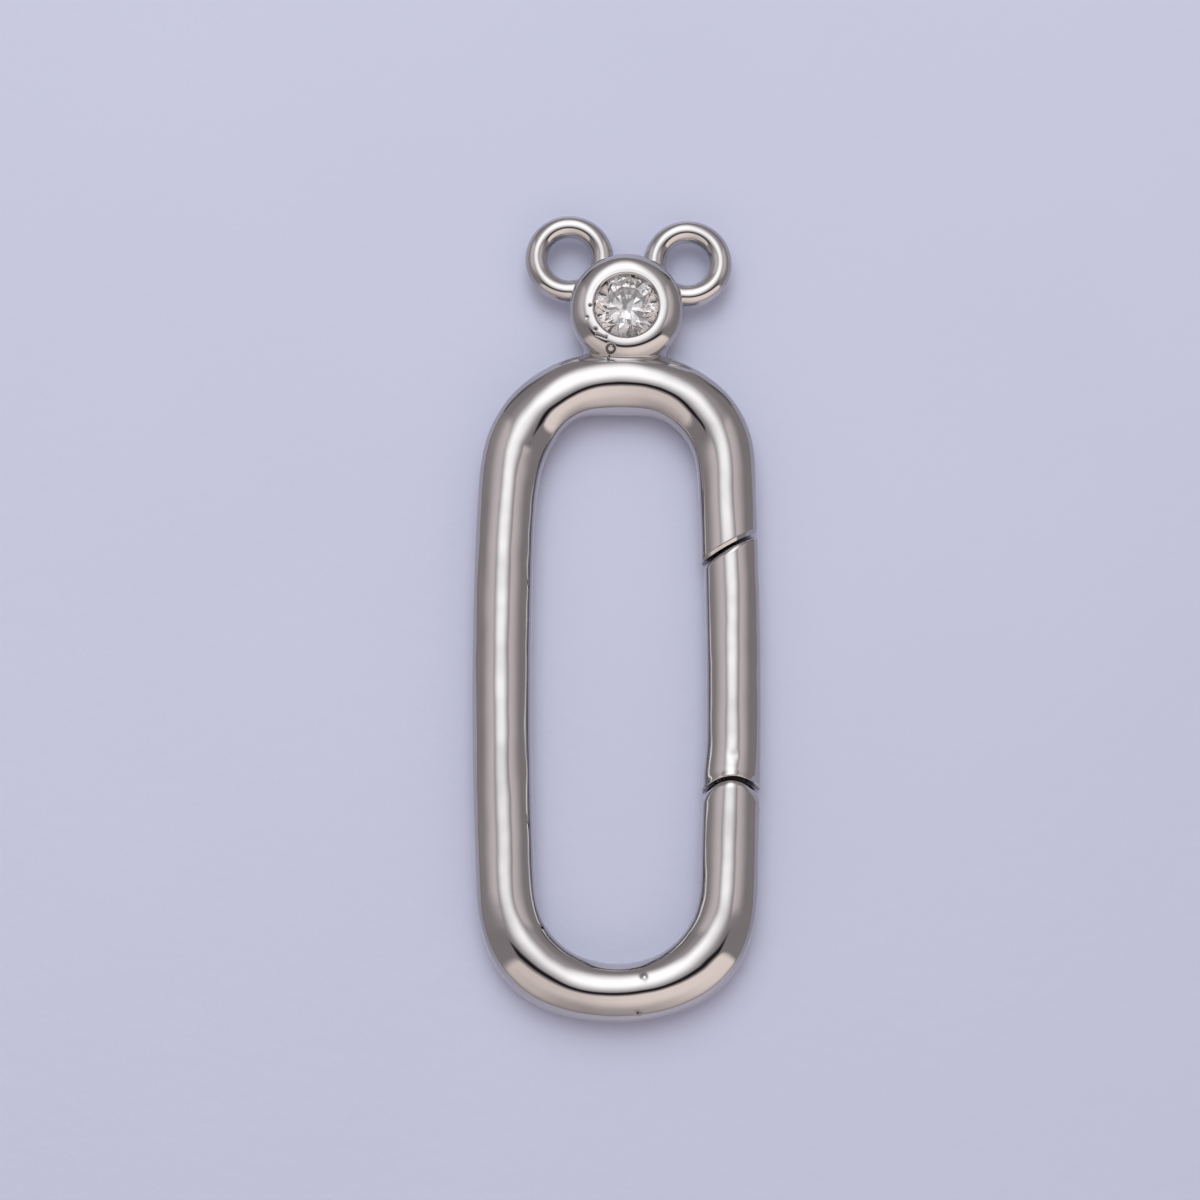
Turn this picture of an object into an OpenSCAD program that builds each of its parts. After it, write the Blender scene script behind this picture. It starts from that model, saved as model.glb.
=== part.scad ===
// Oval gate clasp with a bezel-set round stone and two chain loops.
// It lies flat: +Z up from its back, +Y towards the chain loops, +X on the gate's side.

/* [Oval ring] */
// Diameter of the ring's round wire
wire_d = 2.4; // [2.3:0.05:2.5]
// Width of the ring, outside to outside
ring_width = 11.9; // [11.9:0.1:13]
// Length of the ring, outside to outside
ring_length = 28.2; // [26:0.2:32]
// Corner radius of the crown, at the middle of the wire
crown_corner_r = 3.65; // [3.2:0.05:4]

/* [Gate] */
// Diameter of the gate, a little slimmer than the ring
gate_d = 2.28; // [2.1:0.01:2.4]
// Height of the latch seam above the ring's middle
latch_rise = 5.9; // [4.5:0.1:6.5]
// Slant of the latch seam, rising towards the outside
latch_slant = 29; // [20:1:35]
// Gap between the gate and the ring at both of its ends
seam_gap = 0.12; // [0.08:0.01:0.2]

/* [Hinge] */
// Distance of the hinge pin below the ring's middle
hinge_drop = 5.65; // [5:0.05:6]
// Radius of the domed end that the gate turns round
hinge_dome_r = 1.62; // [1.5:0.01:1.7]
// Diameter of the hinge pin
pin_d = 0.8; // [0.7:0.05:0.9]
// Thickness of the gate's tongue
tongue_t = 0.8; // [0.6:0.05:0.9]
// Width of the gate's tongue
tongue_w = 1.1; // [1:0.05:1.2]
// How far the gate swings open, in degrees
gate_swing = 35; // [20:1:35]

/* [Head] */
// Height of the bezel's centre above the ring's outside
head_rise = 2.03; // [1.9:0.01:2.1]
// Sideways offset of the bezel from the ring's centre line
head_shift = 0.4; // [0:0.05:0.5]
// Clockwise turn of the two loops about the bezel
head_turn = 2.5; // [0:0.5:4]
// Outer radius of the bezel
bezel_r = 2.3; // [2.2:0.05:2.4]
// Height of the bezel's rim above its back
bezel_h = 2.42; // [2.42:0.02:2.6]

/* [Stone] */
// Diameter of the round stone
stone_d = 3; // [2.8:0.05:3]
// Diameter of the stone that the bezel's rim leaves open
stone_open_d = 2.7; // [2.5:0.05:2.7]

/* [Chain loops] */
// Diameter of the loops' wire
loop_wire_d = 0.96; // [0.9:0.02:1]
// Diameter of the hole in each loop
loop_hole_d = 1.92; // [1.8:0.02:2]
// Distance of each loop's centre from the bezel's centre
loop_reach = 3.32; // [3.3:0.02:3.4]
// Angle of each loop from the head's own axis
loop_spread = 49; // [46:1:52]

/* [Hidden] */
$fn = 96;

METAL = "silver";
CRYSTAL = "whitesmoke";

// Plan of the ring's centre line, about the ring's middle
side_x = (ring_width - wire_d) / 2;
end_y = (ring_length - wire_d) / 2;
foot_y = end_y - side_x;
crown_y = end_y - crown_corner_r;
crown_x = side_x - crown_corner_r;
hinge_at = [side_x, -hinge_drop];
latch_at = [side_x, latch_rise];

// The loops, from the bezel's centre; a straight wall is cut in each hole, this deep in the wire
head_at = [head_shift, ring_length / 2 + head_rise];
loop_turns = [loop_spread - head_turn, -loop_spread - head_turn];
loop_wall_sunk = 0.03;
loop_ring_r = (loop_hole_d + loop_wire_d) / 2 - loop_wall_sunk;
loop_outer_r = loop_ring_r + loop_wire_d / 2;
function loop_at(turn) = head_at + loop_reach * [-sin(turn), cos(turn)];

// The part's origin is under the middle of its box
loops_top = max([for (turn = loop_turns) loop_at(turn)[1]]) + loop_outer_r;
middle_y = round(500 * (ring_length / 2 - loops_top)) / 1000;
mid_z = wire_d / 2;

// The hinge's clearances, the tongue's round eye and the metal left in front of the pin
pin_seat_gap = 0.01;
pin_run_gap = 0.03;
slot_gap = 0.05;
slot_spare_turn = 3;
slot_out = 4;
eye_r = 0.72;
front_cheek = 0.45;

// How far the blanks of the gate and its stubs run on before they are cut to shape
dome_spare = 0.5;
latch_spare = 2;

// The bezel's section: a wide arc up from the back, and a small one over the rim
shoulder_r = 1.6;
shoulder_turn = 40;
rim_r = 0.5;
rim_in = bezel_r - shoulder_r + (shoulder_r - rim_r) * cos(shoulder_turn);
rim_z = mid_z + (shoulder_r - rim_r) * sin(shoulder_turn);
rim_rise = bezel_h - rim_z - rim_r;

// The proportions of a round brilliant: heights from its diameter, radii from its radius
crown_share = 0.155;
girdle_share = 0.025;
pavilion_share = 0.43;
table_share = 0.57;
star_share = 0.77;
lower_share = 0.22;

// The stone's cut: heights above the back, and radii
stone_r = stone_d / 2;
table_sunk = 0.02;
table_r = table_share * stone_r;
table_z = bezel_h - table_sunk;
girdle_top_z = table_z - crown_share * stone_d;
girdle_low_z = girdle_top_z - girdle_share * stone_d;
culet_z = girdle_low_z - pavilion_share * stone_d;
star_r = star_share * stone_r;
lower_r = lower_share * stone_r;

// The stone's seat, and the bevel inside the bezel's rim
seat_gap = 0.03;
rim_bevel_drop = 0.12;
cut_through = 0.01;

// Moves a shape from the ring's middle to the part's frame
module placed() {
    translate([0, middle_y, mid_z]) children();
}

// A bent length of the ring's wire about the origin, from the +X axis round
module bend(r, angle) {
    rotate_extrude(angle = angle) translate([r, 0]) circle(d = wire_d);
}

// A length of the straight right side, between two heights
module side(d, y_from, y_to) {
    translate([side_x, y_from, 0]) rotate([-90, 0, 0]) cylinder(h = y_to - y_from, d = d);
}

// The ring's crown, from one long side round to the other
module crown() {
    for (hand = [0, 1]) mirror([hand, 0, 0]) {
        translate([crown_x, crown_y]) bend(crown_corner_r, 90);
        translate([0, end_y]) rotate([0, 90, 0]) cylinder(h = crown_x, d = wire_d);
    }
}

// The ring's round foot and its plain long side
module foot_and_side() {
    translate([0, -foot_y]) rotate([0, 0, 180]) bend(side_x, 180);
    mirror([1, 0, 0]) side(wire_d, -foot_y, crown_y);
}

// Everything above the domed end that the gate turns round
module past_dome() {
    translate([hinge_at[0], hinge_at[1], -wire_d]) linear_extrude(2 * wire_d) difference() {
        translate([-wire_d, 0]) square([2 * wire_d, 2 * wire_d]);
        circle(r = hinge_dome_r);
    }
}

// Everything above (hand 1) or below (hand -1) the latch seam's plane, moved up by a shift
module past_latch(hand, shift) {
    size = 4 * wire_d;
    translate([latch_at[0], latch_at[1], 0]) rotate([0, 0, latch_slant])
        translate([0, shift + hand * size / 2, 0]) cube(size, center = true);
}

// The slot in the lower stub, open to the outside as far as the gate swings
module tongue_slot() {
    half = tongue_w / 2 + slot_gap;
    swing = gate_swing + slot_spare_turn;
    square_to_swing = [cos(swing), -sin(swing)];
    along_swing = [sin(swing), cos(swing)];
    translate([hinge_at[0], hinge_at[1], -tongue_t / 2 - slot_gap])
        linear_extrude(tongue_t + 2 * slot_gap) {
            circle(r = eye_r + slot_gap);
            polygon([
                [-half, 0],
                [-half, slot_out],
                [slot_out, slot_out],
                half * square_to_swing + slot_out * along_swing,
                half * square_to_swing,
            ]);
        }
}

// The ring's right side below the gate, with its domed and slotted end
module lower_stub() {
    difference() {
        side(wire_d, -foot_y, -hinge_drop + hinge_dome_r + dome_spare);
        past_dome();
        tongue_slot();
        translate([hinge_at[0], hinge_at[1], -mid_z])
            cylinder(h = wire_d - front_cheek, d = pin_d + 2 * pin_seat_gap);
    }
}

// The ring's right side above the gate, cut on a slant
module upper_stub() {
    difference() {
        side(wire_d, latch_rise - latch_spare, crown_y);
        past_latch(-1, 0);
    }
}

// Section of the bezel, solid to its axis
module bezel_section() {
    intersection() {
        union() {
            translate([bezel_r - shoulder_r, mid_z]) circle(r = shoulder_r);
            translate([rim_in, rim_z + rim_rise]) circle(r = rim_r);
            square([rim_in, bezel_h]);
        }
        square([bezel_r + 1, bezel_h]);
    }
}

// Section of the seat that the stone lies in, under a rim that holds its edge
module seat_section() {
    edge_r = stone_r + seat_gap;
    open_r = stone_open_d / 2;
    crown_slope = (table_z - girdle_top_z) / (stone_r - table_r);
    open_z = girdle_top_z + seat_gap + (edge_r - open_r) * crown_slope;
    polygon([
        [0, culet_z - seat_gap],
        [edge_r, girdle_low_z - seat_gap],
        [edge_r, girdle_top_z + seat_gap],
        [open_r, open_z],
        [open_r, bezel_h - rim_bevel_drop],
        [rim_in, bezel_h + cut_through],
        [0, bezel_h + cut_through],
    ]);
}

// A round wire loop, with a short straight wall in its hole
module chain_loop() {
    difference() {
        rotate_extrude() translate([loop_ring_r, 0]) circle(d = loop_wire_d);
        cylinder(h = 2 * loop_wire_d, d = loop_hole_d, center = true);
    }
}

// The web of solder between the bezel and the ring's crown, hollowed at both of its ends
module solder() {
    web_t = wire_d / 2;
    reach = 2.05;
    fillet_r = 0.45;
    fillet_out = 0.08;
    sunk = 0.5;
    translate([head_shift, ring_length / 2, -web_t / 2]) linear_extrude(web_t) difference() {
        translate([-reach, -sunk]) square([2 * reach, sunk + fillet_r]);
        for (hand = [-1, 1]) translate([hand * (reach + fillet_out), fillet_r]) circle(r = fillet_r);
    }
}

// The ring, bezel and loops, soldered into one piece of metal
module frame() {
    color(METAL) placed() difference() {
        union() {
            crown();
            foot_and_side();
            lower_stub();
            upper_stub();
            solder();
            translate([head_at[0], head_at[1], -mid_z]) rotate_extrude() bezel_section();
            for (turn = loop_turns) translate(loop_at(turn)) chain_loop();
        }
        translate([head_at[0], head_at[1], -mid_z]) rotate_extrude() seat_section();
    }
}

// The gate, with the tongue that turns on the hinge pin
module gate() {
    color(METAL) placed() difference() {
        union() {
            difference() {
                side(gate_d, -hinge_drop, latch_rise + latch_spare);
                past_latch(1, -seam_gap);
                translate([hinge_at[0], hinge_at[1], -wire_d])
                    cylinder(h = 2 * wire_d, r = hinge_dome_r + seam_gap);
            }
            translate([hinge_at[0], hinge_at[1], -tongue_t / 2]) linear_extrude(tongue_t) {
                circle(r = eye_r);
                translate([-tongue_w / 2, 0]) square([tongue_w, hinge_dome_r + tongue_w / 2]);
            }
        }
        translate([hinge_at[0], hinge_at[1], -wire_d])
            cylinder(h = 2 * wire_d, d = pin_d + 2 * pin_run_gap);
    }
}

// The plain hinge pin, flush with the ring's back and blind at its front
module hinge_pin() {
    back_z = -sqrt(pow(mid_z, 2) - pow(pin_d / 2, 2));
    color(METAL) placed() translate([hinge_at[0], hinge_at[1], back_z])
        cylinder(h = mid_z - front_cheek - pin_run_gap - back_z, d = pin_d);
}

// A ring of points for the stone, evenly round its axis
function ring_of(count, first, r, z) = [
    for (i = [0 : count - 1]) [r * cos(first + i * 360 / count), r * sin(first + i * 360 / count), z]
];

// The round stone: table, stars, kites and girdle facets above, kites and halves below.
// The names give each row's first point in the list of points.
module stone() {
    half = 22.5;
    kite_slope = (table_z - girdle_top_z) / (stone_r - table_r);
    star_z = table_z - (star_r * cos(half) - table_r) * kite_slope;
    lower_slope = (girdle_low_z - culet_z) / stone_r;
    lower_z = culet_z + lower_r * cos(half) * lower_slope;
    table = ring_of(8, 0, table_r, table_z);
    stars = ring_of(8, half, star_r, star_z);
    girdle_top = ring_of(16, 0, stone_r, girdle_top_z);
    girdle_low = ring_of(16, 0, stone_r, girdle_low_z);
    lowers = ring_of(8, half, lower_r, lower_z);
    star = 8;
    top = 16;
    low = 32;
    lower = 48;
    culet = 56;
    faces = concat(
        [[7, 6, 5, 4, 3, 2, 1, 0]],
        [for (k = [0 : 7]) [k, (k + 1) % 8, star + k]],
        [for (k = [0 : 7]) [k, star + k, top + 2 * k, star + (k + 7) % 8]],
        [for (k = [0 : 7]) [star + k, top + 2 * k + 1, top + 2 * k]],
        [for (k = [0 : 7]) [star + k, top + (2 * k + 2) % 16, top + 2 * k + 1]],
        [for (k = [0 : 15]) [top + k, top + (k + 1) % 16, low + (k + 1) % 16, low + k]],
        [for (k = [0 : 7]) [lower + k, low + 2 * k, low + 2 * k + 1]],
        [for (k = [0 : 7]) [lower + k, low + 2 * k + 1, low + (2 * k + 2) % 16]],
        [for (k = [0 : 7]) [culet, lower + (k + 7) % 8, low + 2 * k, lower + k]]
    );
    color(CRYSTAL) placed() translate([head_at[0], head_at[1], -mid_z]) polyhedron(
        points = concat(table, stars, girdle_top, girdle_low, lowers, [[0, 0, culet_z]]),
        faces = faces
    );
}

frame();
gate();
hinge_pin();
stone();
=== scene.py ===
# An oval gate clasp in polished metal: a ring with a hinged gate, a stone in a bezel and two chain loops.
# Lengths are in millimetres in the CAD model's own frame, until a finished mesh is scaled to metres.

import math

import bmesh
import bpy
import numpy as np
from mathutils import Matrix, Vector
from mathutils.kdtree import KDTree


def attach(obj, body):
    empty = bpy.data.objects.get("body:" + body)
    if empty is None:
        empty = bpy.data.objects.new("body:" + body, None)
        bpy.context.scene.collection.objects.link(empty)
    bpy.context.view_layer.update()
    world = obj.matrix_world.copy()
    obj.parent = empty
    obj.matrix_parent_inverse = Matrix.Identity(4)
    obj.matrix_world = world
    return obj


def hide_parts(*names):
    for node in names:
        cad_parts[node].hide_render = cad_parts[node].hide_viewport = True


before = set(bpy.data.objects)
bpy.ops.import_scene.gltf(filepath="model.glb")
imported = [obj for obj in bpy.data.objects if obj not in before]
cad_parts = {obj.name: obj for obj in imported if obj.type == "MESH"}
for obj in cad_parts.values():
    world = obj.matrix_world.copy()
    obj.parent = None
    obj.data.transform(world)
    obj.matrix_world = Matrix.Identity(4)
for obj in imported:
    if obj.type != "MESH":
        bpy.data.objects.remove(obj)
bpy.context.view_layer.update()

# A millimetre in metres, and the half step that a field's slope is measured over
MM = 0.001
SKIN_STEP = 0.0001

# The ring, about its own middle: the wire's centre line bows out along both sides
RING_MIDDLE_Y = -3.103
WIRE_R = 1.2
MID_Z = 1.2
END_Y = 12.9
HALF_WIDTH = 4.8
SIDE_R = 190.0
CROWN_CORNER_R = 3.65
BEND_EASE = 0.72
ARC_POINTS = 400
LINE_POINTS = 3200

# Where the hand-finished ring strays from its plan: a place near it and half its length, then how far it
# shifts outwards, how much wider each half is, and how far its top leans outwards
STRAYS = (
    ((0.0, -15.95), 1.8, -0.06, -0.02, 0.0),
    ((-3.35, -14.45), 2.0, 0.20, 0.11, -0.13),
    ((3.50, -14.30), 2.0, 0.20, 0.11, -0.13),
    ((3.95, 8.05), 2.0, 0.03, 0.08, 0.0),
    ((0.0, 9.8), 2.2, 0.07, 0.05, 0.0),
    ((0.3, 9.8), 1.3, 0.0, 0.0, 0.12),
    ((-4.10, 7.85), 2.2, -0.23, 0.12, 0.0),
    ((-2.5, 9.5), 1.2, 0.0, 0.0, -0.10),
    ((-4.80, -3.0), 9.0, 0.02, 0.03, 0.0),
)

# The wire's flanks are a little squarer than a circle: how far they stand out, then where and how widely,
# in degrees down from the top
OUTER_FLANK = (0.08, 68, 14)
INNER_FLANK = (0.05, 66, 13)

# The joints lie right of this line and below this height, the hinge's below a height of its own
JOINTS_LEFT_X = 2
JOINTS_TOP_Y = 6
HINGE_TOP_Y = -3

# The two ends of the gate: its hollow runs round the ring's dome, with its middle a little further out
HINGE = (4.75, -8.753)
DOME_R = 1.62
HOLLOW_R = 1.72
HOLLOW_SHIFT = 0.07
LATCH = (4.75, 2.797)
LATCH_SLANT = math.radians(29)
LATCH_GAP = 0.075
DOME_EDGE_R = 0.34
LATCH_EDGE_R = 0.06
GATE_TOP_EDGE_R = 0.26
GATE_HOLLOW_EDGE_R = 0.03
BEVEL_REACH = 2.5
BEVEL_LENGTH = 0.15
BEVEL_SLOPE = math.radians(21)

# The raised lip along the hollow's edge, near the middle of the gate's top, and the dimple above it
LIP_WIDTH = 0.19
LIP_HEIGHT = 0.05
LIP_MIDDLE = -0.15
LIP_SPAN = 1.3
DIMPLE = (4.87, -6.17, 2.33)
DIMPLE_R = 0.2
DIMPLE_DEPTH = 0.018

# The gate is slimmer than the ring, and swells to the ring's width at its hinge
GATE_R = 1.135
GATE_SHIFT = 0.06
SWELL_LENGTH = 1.9

# The gate's tongue with its round eye, the pin, and the room for both in the ring
TONGUE_HALF_T = 0.4
TONGUE_HALF_W = 0.55
EYE_R = 0.72
PIN_R = 0.4
SLOT_GAP = 0.05
PIN_SEAT_GAP = 0.01
PIN_RUN_GAP = 0.03
PIN_TOP = 1.95
SLOT_TURN = math.radians(38)
SLOT_OUT = 4.0

# The bezel's section: an oval shoulder, a soft crest and a bevel down to the stone
BEZEL = (0.4, 13.027)
CREST_R = 1.56
CREST_Z = 2.42
SHOULDER_W = 0.81
BEZEL_FLANK = (0.05, 66, 14)
WAIST_Z = 1.62
LOWER_H = 1.7
FLARE_R = 1.375
OPENING_R = 1.3
FLARE_FOOT_Z = 2.15
OPENING_FOOT_Z = 2.1
SEAT_R = 1.53
SEAT_TOP_Z = 1.965
SEAT_LOW_Z = 1.83
SEAT_FOOT_Z = 0.54
CREST_EDGE_R = 0.06

# The solder's hollow between ring and bezel: tight at the top, wide low down
SOLDER_TOP_R = 0.12
SOLDER_LOW_R = 0.6
SOLDER_TOP_Z = 2.1

# The chain loops
LOOPS = ((-2.008, 15.312), (2.998, 15.094))
LOOP_R = 1.405
LOOP_WIRE_R = 0.475
LOOP_SOLDER_R = 0.05

# The stone, a round brilliant: radii, heights above the clasp's back, and how far it is turned
STONE_R = 1.5
TABLE_R = 0.855
STAR_R = 1.155
LOWER_R = 0.33
TABLE_Z = 2.4
GIRDLE_TOP_Z = 1.935
GIRDLE_LOW_Z = 1.86
CULET_Z = 0.6
STONE_TURN = math.radians(14)

# Casting flaws on the frame: place seen from above, radius, depth (a bump has a negative depth)
FLAWS = (
    (-1.13, 13.03, 0.05, 0.05),
    (-1.03, 13.01, 0.04, 0.03),
    (-1.26, 12.50, 0.08, 0.02),
    (-0.90, 12.01, 0.06, 0.05),
    (-0.86, 11.77, 0.05, 0.05),
    (-0.77, 11.74, 0.05, 0.05),
    (-0.67, 11.71, 0.05, 0.05),
    (-0.57, 11.67, 0.05, 0.05),
    (-0.47, 11.64, 0.05, 0.05),
    (-0.33, 10.90, 0.04, 0.05),
    (-0.38, 10.80, 0.04, 0.05),
    (-3.77, 6.96, 0.22, 0.010),
    (1.12, -15.45, 0.13, -0.045),
    (0.85, -16.90, 0.06, 0.05),
)

# The round blowhole in the solder, as a ring of pits: place, radius, half width, depth, and how many pits
BLOWHOLE = (-0.27, 11.19, 0.17, 0.045, 0.05)
BLOWHOLE_PITS = 14

# Painted shade in the joints' gaps, over the dull tarnish of faces that no polishing wheel gets in to:
# how deep in a joint it starts, how soon it is full, and how dark it is at each joint. The hinge's gap
# has no painted shade on the ring's inner side, as far out as this, and the painted shade along the
# crease round the solder is faint.
RING_UNSHADED_DEPTH = 0.17
GATE_UNSHADED_DEPTH = 0.14
SHADE_RISE = 0.12
HINGE_SHADE = 0.85
LATCH_SHADE = 0.55
HINGE_UNSHADED_OUT = -1.0
HINGE_UNSHADED_RISE = 0.6
SOLDER_SHADE = 0.3
SOLDER_SHADE_R = 0.16

# Pits deeper than this are painted darker, a little past their own radius
DARK_PIT_DEPTH = 0.045
PIT_DARKENING = 1.1
PIT_DARKENING_SPREAD = 1.2


# Shapes as distance fields: negative inside, zero on the skin

def fillet(first, second, radius):
    """Joins two fields, with a hollow of this radius along the joint."""
    inner = np.hypot(np.maximum(radius - first, 0), np.maximum(radius - second, 0))
    return np.maximum(radius, np.minimum(first, second)) - inner


def keep_both(first, second, radius):
    """Keeps what lies inside both fields, with its edge rounded to this radius."""
    return -fillet(-first, -second, radius)


def above_line(x, y, start, end):
    """Distance of points from a line, positive on its left seen from start to end."""
    run = np.array(end) - np.array(start)
    run = run / np.hypot(*run)
    return (y - start[1]) * run[0] - (x - start[0]) * run[1]


def ring_outline():
    """The ring's centre line as arcs that touch, about its middle, from the foot round by the right."""
    bow = SIDE_R - HALF_WIDTH
    foot_r = (SIDE_R ** 2 - bow ** 2 - END_Y ** 2) / (2 * (SIDE_R - END_Y))
    foot_y = foot_r - END_Y
    crown_y = END_Y - CROWN_CORNER_R
    crown_x = math.sqrt((SIDE_R - CROWN_CORNER_R) ** 2 - crown_y ** 2) - bow
    low = math.atan2(foot_y, bow)
    high = math.atan2(crown_y, bow + crown_x)

    def arc(centre, radius, start, end):
        turn = np.linspace(start, end, ARC_POINTS)
        return np.column_stack([centre[0] + radius * np.cos(turn), centre[1] + radius * np.sin(turn)])

    half = np.vstack([
        arc((0, foot_y), foot_r, -math.pi / 2, low),
        arc((-bow, 0), SIDE_R, low, high),
        arc((crown_x, crown_y), CROWN_CORNER_R, high, math.pi / 2),
        [(0, END_Y)],
    ])
    return np.vstack([half, half[::-1] * (-1, 1)])


class CentreLine:
    """The ring's closed centre line, as evenly spaced points with their directions."""

    def __init__(self):
        outline = ring_outline()
        steps = np.hypot(*np.diff(outline, axis=0).T)
        moving = steps > 1e-9
        outline = outline[np.concatenate([[True], moving])]
        place = np.concatenate([[0], np.cumsum(steps[moving])])
        self.length = place[-1]
        self.step = self.length / LINE_POINTS
        even = np.arange(LINE_POINTS) * self.step
        line = np.interp(even, place, outline[:, 0]) + 1j * np.interp(even, place, outline[:, 1])
        # The bends ease into the sides: fast changes along the line are faded out
        waves = 2 * np.pi * np.fft.fftfreq(LINE_POINTS, self.step)
        kept = np.exp(-(waves * BEND_EASE) ** 2 / 2)
        line = np.fft.ifft(np.fft.fft(line) * kept * (2 - kept)) + 1j * RING_MIDDLE_Y
        shift = np.zeros(LINE_POINTS)
        self.swelling = np.zeros(LINE_POINTS)
        self.leaning = np.zeros(LINE_POINTS)
        for (x, y), half_length, out, wider, top_out in STRAYS:
            nearest = np.argmin(np.abs(line - (x + 1j * y)))
            away = np.abs(np.arange(LINE_POINTS) - nearest)
            away = np.minimum(away, LINE_POINTS - away) * self.step
            share = np.exp(-(away / half_length) ** 2)
            shift += out * share
            self.swelling += wider * share
            self.leaning += top_out * share
        line = line - 1j * self.forward(line) * shift
        direction = self.forward(line)
        self.points = np.column_stack([line.real, line.imag])
        self.directions = np.column_stack([direction.real, direction.imag])
        self.tree = KDTree(LINE_POINTS)
        for index, (x, y) in enumerate(self.points):
            self.tree.insert((x, y, 0), index)
        self.tree.balance()

    @staticmethod
    def forward(line):
        """The direction of travel at each point of a closed line of complex numbers."""
        run = np.roll(line, -1) - np.roll(line, 1)
        return run / np.abs(run)

    def half_width(self, along):
        """How wide the wire is on each side of the line, against its plain radius."""
        return 1 + self.read(self.swelling, along) / WIRE_R

    def lean(self, along):
        """How far the wire's top leans outwards, against its plain radius."""
        return self.read(self.leaning, along) / WIRE_R

    def read(self, values, along):
        """A value along the line, between its points."""
        place = np.mod(along / self.step, LINE_POINTS)
        low = np.floor(place).astype(int) % LINE_POINTS
        share = place - np.floor(place)
        return values[low] * (1 - share) + values[(low + 1) % LINE_POINTS] * share

    def at(self, along):
        """Points and directions at these distances along the line."""
        place = np.mod(along / self.step, LINE_POINTS)
        low = np.floor(place).astype(int) % LINE_POINTS
        high = (low + 1) % LINE_POINTS
        share = (place - np.floor(place))[:, None]
        points = self.points[low] * (1 - share) + self.points[high] * share
        directions = self.directions[low] * (1 - share) + self.directions[high] * share
        return points, directions

    def nearest(self, points):
        """How far along the line each point lies, to the nearest step."""
        return np.array([self.tree.find((x, y, 0))[1] for x, y in points[:, :2]]) * self.step

    def outside(self, points, along):
        """How far outside the line each point lies, and where along it, from a near guess of that."""
        flat = points[:, :2]
        # Each step is a little short, which keeps it steady in the bends
        step_share = 0.85
        for _ in range(3):
            middle, direction = self.at(along)
            along = along + step_share * np.sum((flat - middle) * direction, axis=1)
        middle, direction = self.at(along)
        outward = np.column_stack([direction[:, 1], -direction[:, 0]])
        return np.sum((flat - middle) * outward, axis=1), along


LINE = CentreLine()


def flank(outside, up):
    """How far the wire's flanks stand out beyond a circle."""
    turn = np.degrees(np.arctan2(np.abs(outside), np.abs(up)))
    outer = OUTER_FLANK[0] * np.exp(-((turn - OUTER_FLANK[1]) / OUTER_FLANK[2]) ** 2)
    inner = INNER_FLANK[0] * np.exp(-((turn - INNER_FLANK[1]) / INNER_FLANK[2]) ** 2)
    return np.where(outside > 0, outer, inner)


def past_dome(points, radius, shift=0.0):
    """Negative below the hinge and inside a round end about its pin, or shifted outwards from it."""
    across = points[:, 0] - HINGE[0] - shift
    up = points[:, 1] - HINGE[1]
    return np.minimum(np.hypot(across, up) - radius, up)


def over_latch(points, drop=0.0):
    """Positive above the latch seam's slanted plane."""
    across = points[:, 0] - LATCH[0]
    up = points[:, 1] - LATCH[1]
    return up * math.cos(LATCH_SLANT) - across * math.sin(LATCH_SLANT) + drop


def gate_radius(points):
    """The gate's radius at each height: it swells over its last stretch above the hinge."""
    rise = (points[:, 1] - HINGE[1] - DOME_R) / SWELL_LENGTH
    share = np.clip(rise, 0, 1)
    eased = share * share * (3 - 2 * share)
    return WIRE_R + (GATE_R - WIRE_R) * eased


def gate_shift(points):
    """How far the gate stands outside the ring's centre line at each height."""
    return GATE_SHIFT * (WIRE_R - gate_radius(points)) / (WIRE_R - GATE_R)


def bezel_outside(points):
    """The bezel without its cup: a full oval shoulder round a flat middle, cut flat at the back."""
    out = np.hypot(points[:, 0] - BEZEL[0], points[:, 1] - BEZEL[1])
    height = np.where(points[:, 2] > WAIST_Z, CREST_Z - WAIST_Z, LOWER_H)
    across = np.maximum(out - CREST_R, 0) / SHOULDER_W
    up = (points[:, 2] - WAIST_Z) / height
    size = np.maximum(np.hypot(across, up), 1e-6)
    slope = np.maximum(np.hypot(across / SHOULDER_W, up / height), 1e-6)
    turn = np.degrees(np.arctan2(across, np.abs(up)))
    swell = BEZEL_FLANK[0] * np.exp(-((turn - BEZEL_FLANK[1]) / BEZEL_FLANK[2]) ** 2)
    shoulder = (size - 1) * size / slope - swell
    return np.maximum(shoulder, -points[:, 2])


def bezel_cup(points):
    """The hollow in the bezel: the flared opening, and the seat that the stone lies in."""
    out = np.hypot(points[:, 0] - BEZEL[0], points[:, 1] - BEZEL[1])
    z = points[:, 2]
    flare = above_line(out, z, (FLARE_R, CREST_Z), (OPENING_R, FLARE_FOOT_Z))
    opening = np.maximum(np.minimum(out - OPENING_R, flare), SEAT_TOP_Z - z)
    under_rim = above_line(out, z, (SEAT_R, SEAT_TOP_Z), (OPENING_R, OPENING_FOOT_Z))
    pavilion = above_line(out, z, (SEAT_R, SEAT_LOW_Z), (0, SEAT_FOOT_Z))
    seat = np.maximum.reduce([out - SEAT_R, -under_rim, pavilion])
    return np.minimum(opening, seat)


def loops_field(points):
    """Both round wire loops."""
    fields = []
    for x, y in LOOPS:
        around = np.hypot(points[:, 0] - x, points[:, 1] - y) - LOOP_R
        fields.append(np.hypot(around, points[:, 2] - MID_Z) - LOOP_WIRE_R)
    return np.minimum(*fields)


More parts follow.
